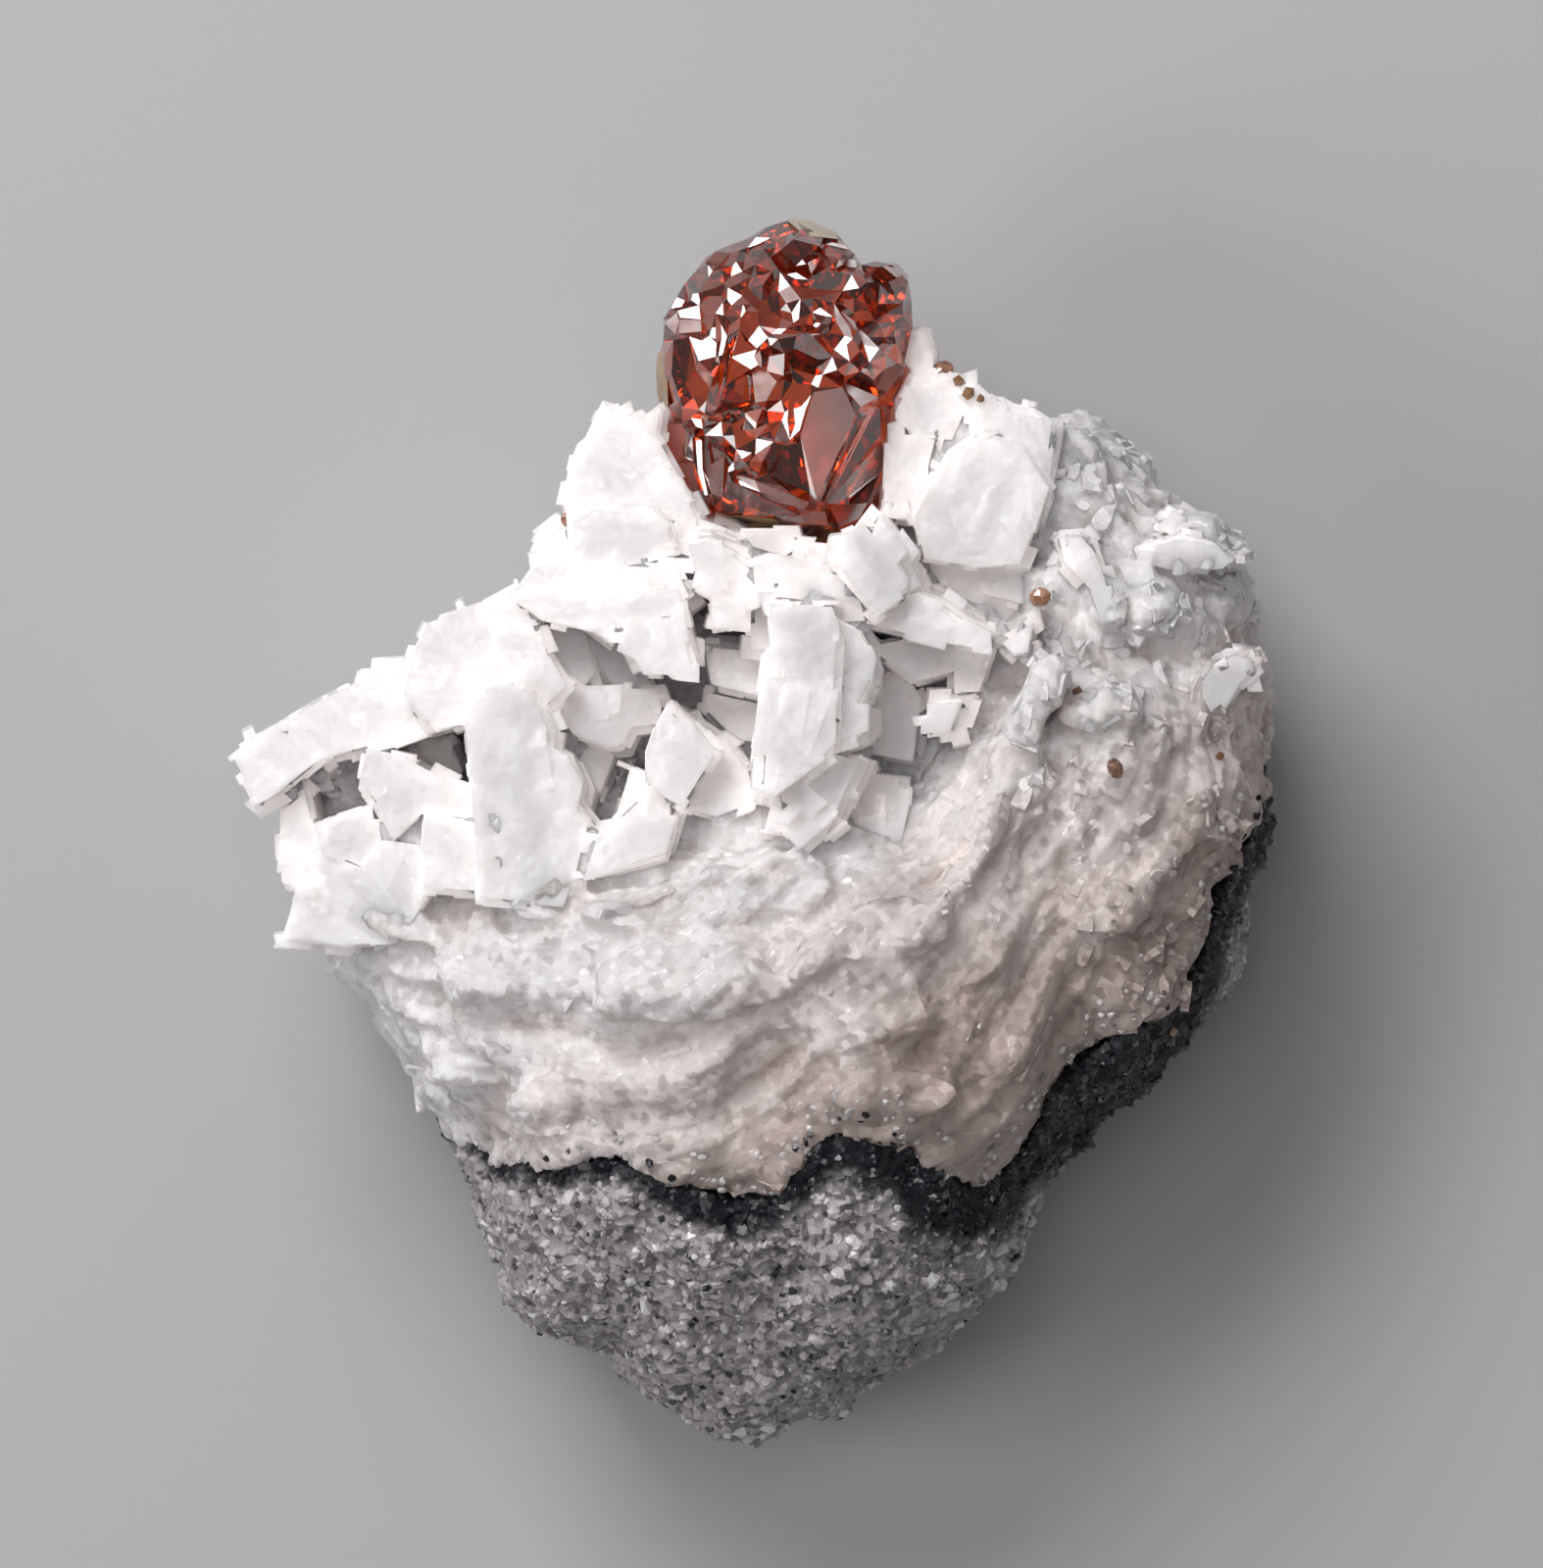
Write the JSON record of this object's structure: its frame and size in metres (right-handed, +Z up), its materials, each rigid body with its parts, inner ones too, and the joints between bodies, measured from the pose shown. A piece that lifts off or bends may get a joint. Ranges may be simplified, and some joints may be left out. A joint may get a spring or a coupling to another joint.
{
  "type": "mineral specimen of sphalerite on dolomite",
  "caption": "Hand specimen of a clear red sphalerite crystal seated on a crust of white dolomite crystals, on grey host rock, lying on its broken back.",
  "frame": {"origin": "middle of the specimen's box in X and Y, on the plane of the broken back that it lies on", "axes": "+Z up, out of the crystal-covered front; +Y towards the end with the red sphalerite crystal, along the specimen's length; +X to the right as seen from the front"},
  "size_m": [0.0598, 0.0698, 0.0362],
  "materials": {
    "dolomite": "pearly white crystal faces, pinkish and duller where massive",
    "host_rock": "granular grey carbonate rock with a glittering black seam",
    "sphalerite": "clear deep red crystal with resinous to adamantine faces",
    "brown_sphalerite": "resinous brown"
  },
  "bodies": {
    "root": {"dolomite_crystals": "dolomite", "dolostone_matrix": "host_rock", "sphalerite_crystal": "sphalerite", "small_sphalerite_right": "brown_sphalerite", "small_sphalerite_left": "brown_sphalerite", "small_sphalerite_behind": "brown_sphalerite", "brown_sphalerite_grain": "brown_sphalerite"}
  },
  "joints": []
}
